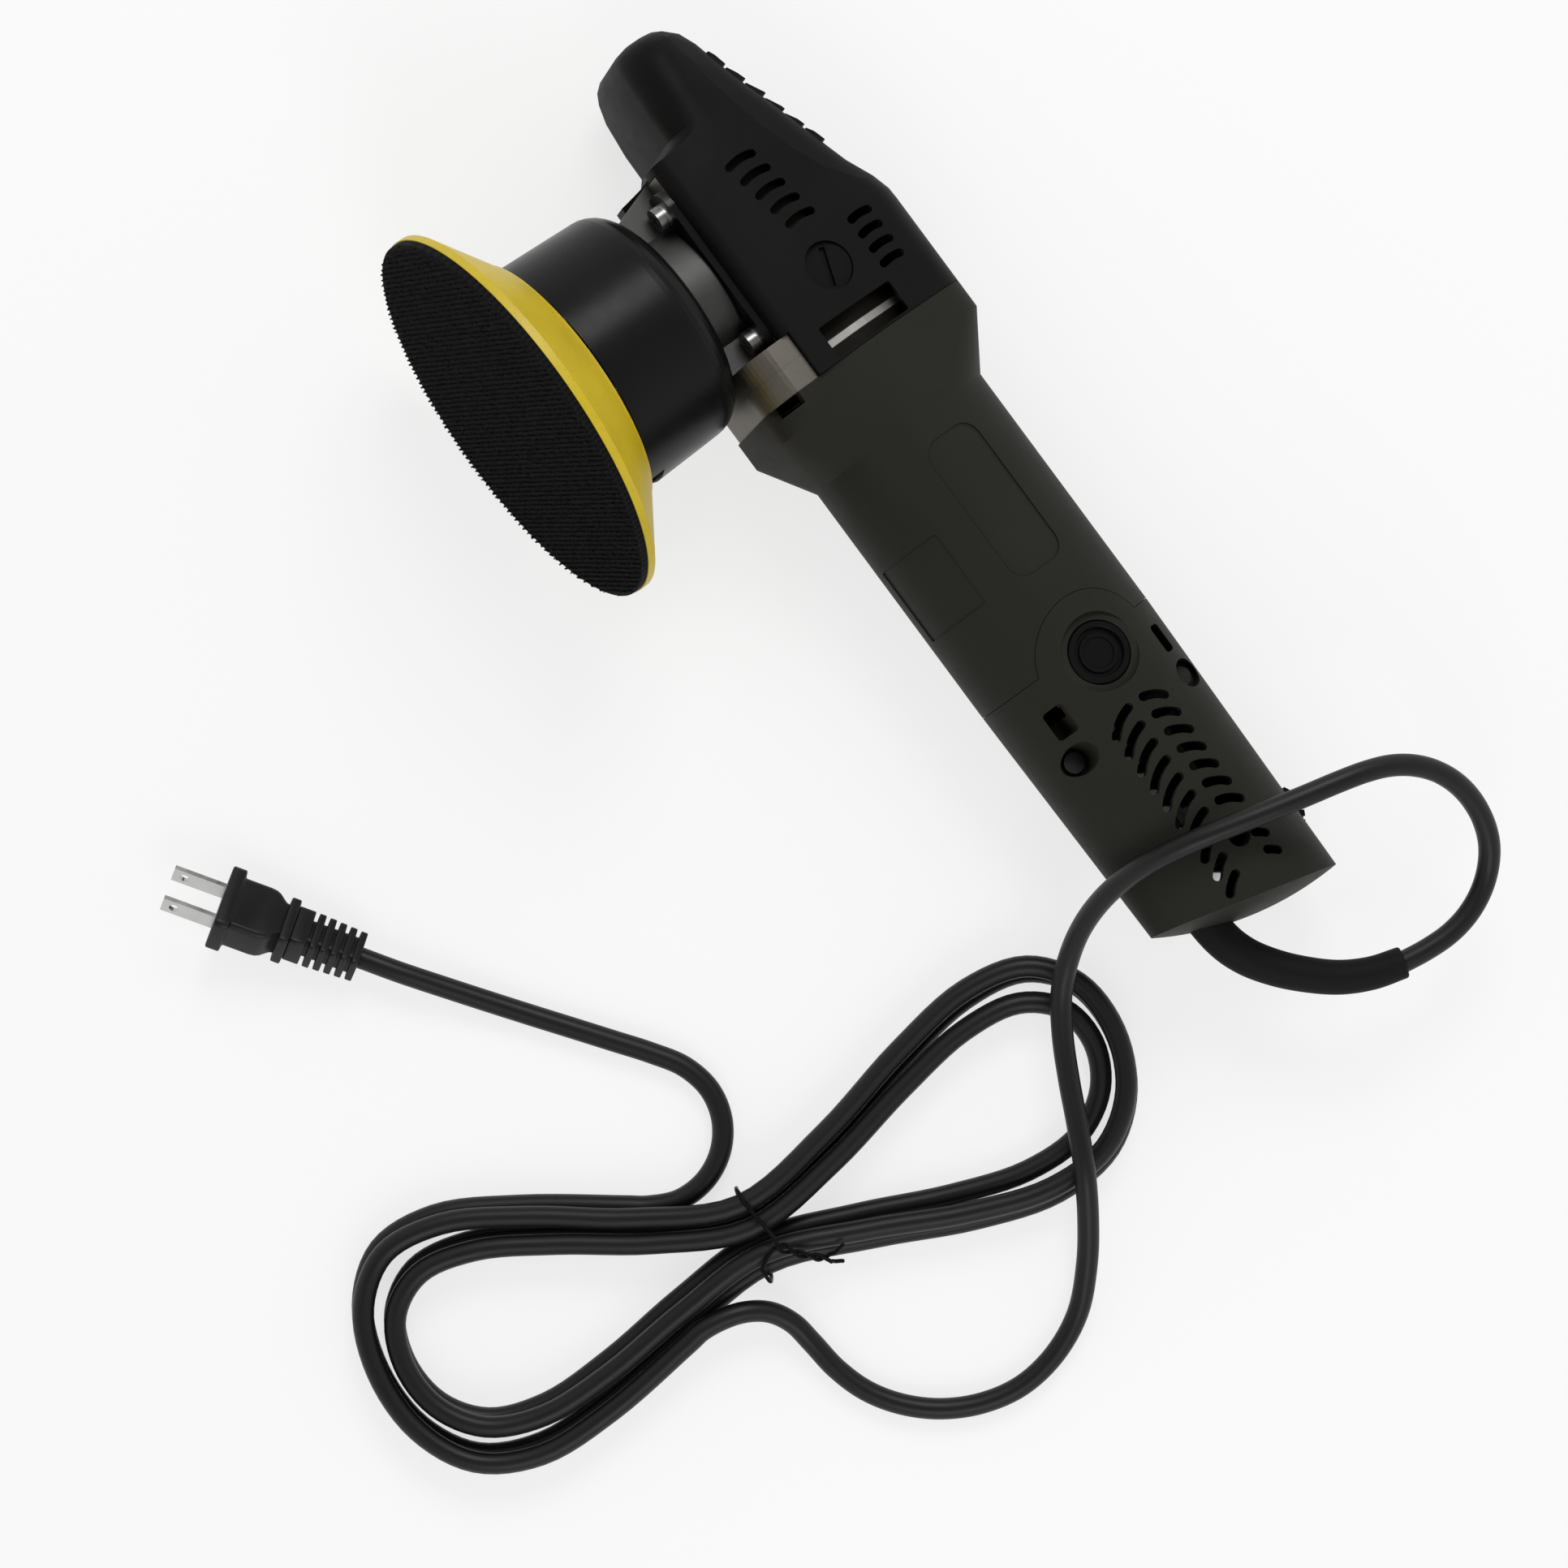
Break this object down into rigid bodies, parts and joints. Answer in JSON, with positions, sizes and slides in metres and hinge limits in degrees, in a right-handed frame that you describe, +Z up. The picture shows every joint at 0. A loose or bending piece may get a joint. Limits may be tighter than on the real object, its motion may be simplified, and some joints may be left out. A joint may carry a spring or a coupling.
{
  "type": "dual action polisher",
  "caption": "Electric random-orbit car polisher with cylindrical motor handle, angled gear head, shrouded eccentric drive, conical hook-faced backing plate and tied mains cord.",
  "frame": {"origin": "on the table under the middle of the tool's own box, its cord left out", "axes": "+X along the motor from the nose to the tail, +Z up from the table, the backing plate towards -Y"},
  "size_m": [0.4221, 0.3966, 0.1276],
  "materials": {
    "cover_plastic": "fine-grained moulded",
    "body_plastic": "fine-grained moulded",
    "grip_rubber": "matt, ledged",
    "black_plastic": "satin",
    "shroud_metal": "satin black",
    "case_alloy": "die cast",
    "dark_metal": "cast, oiled",
    "steel": "machined",
    "lamination": "laminated",
    "copper": "enamelled wire and bars",
    "brass": "pressed",
    "carbon": "pressed carbon",
    "board": "lacquered board",
    "switch_red": "gloss",
    "cord_rubber": "semi-gloss jacket",
    "weight_alloy": "cast",
    "urethane": "smooth moulded",
    "hook": "hook pile"
  },
  "bodies": {
    "body": {"head_cover_left": "cover_plastic", "head_cover_right": "cover_plastic", "grip_pad": "grip_rubber", "side_handle_plugs": "black_plastic", "gear_case": "case_alloy", "bearing_retainer": "dark_metal", "retainer_screws": "steel", "spring_washers": "steel", "shroud": "shroud_metal", "spindle_bearing_lower": "steel", "spindle_bearing_upper": "steel", "oil_seal": "cord_rubber", "bearing_plate": "case_alloy", "armature_bearing_front": "steel", "motor_housing": "body_plastic", "stator_core": "lamination", "stator_coils": "copper", "fan_baffle": "black_plastic", "armature_bearing_rear": "steel", "brush_holders": "brass", "carbon_brushes": "carbon", "brush_springs": "steel", "brush_caps": "black_plastic", "rear_handle_left": "body_plastic", "rear_handle_right": "body_plastic", "rear_handle_screws": "steel", "speed_board": "board", "switch_body": "black_plastic", "cord_clamp": "dark_metal", "cord_sleeve": "cord_rubber", "cord_lead": "cord_rubber", "cord_hank": "cord_rubber", "cord_plug_lead": "cord_rubber", "twist_tie": "cord_rubber", "plug_body": "black_plastic", "plug_blades": "steel"},
    "drive": {"drive_spindle": "steel", "crown_gear": "steel", "eccentric_housing": "weight_alloy", "counterweight": "weight_alloy", "counterweight_screws": "steel", "plate_bearings": "steel"},
    "armature": {"armature_shaft": "steel", "rotor_core": "lamination", "rotor_windings": "copper", "commutator": "copper", "cooling_fan": "black_plastic", "pinion": "steel"},
    "plate": {"plate_spindle": "steel", "plate_hub": "steel", "plate_rivets": "steel", "backing_plate": "urethane", "hook_face": "hook"},
    "rocker": {"switch_rocker": "switch_red"},
    "dial": {"speed_dial": "black_plastic"}
  },
  "joints": [
    {"name": "drive_spin", "type": "hinge", "parent": "body", "child": "drive", "pos_m": [-0.096, -0.02206, 0.04905], "axis": [0, 0.96, -0.28], "continuous": true},
    {"name": "armature_spin", "type": "hinge", "parent": "body", "child": "armature", "pos_m": [0.004, 0.03554, 0.03225], "axis": [1, 0, 0], "continuous": true},
    {"name": "plate_spin", "type": "hinge", "parent": "drive", "child": "plate", "pos_m": [-0.096, -0.03054, 0.05569], "axis": [0, 0.96, -0.28], "continuous": true},
    {"name": "switch_rock", "type": "hinge", "parent": "body", "child": "rocker", "pos_m": [0.112, 0.06146, 0.02469], "axis": [0, 0.28, 0.96], "range_deg": [0, 14]},
    {"name": "dial_turn", "type": "hinge", "parent": "body", "child": "dial", "pos_m": [0.147, 0.05858, 0.02553], "axis": [0, -0.28, -0.96], "range_deg": [0, 270]}
  ],
  "couplings": [
    {"joint": "armature_spin", "follows": "drive_spin", "ratio": 4.1}
  ]
}
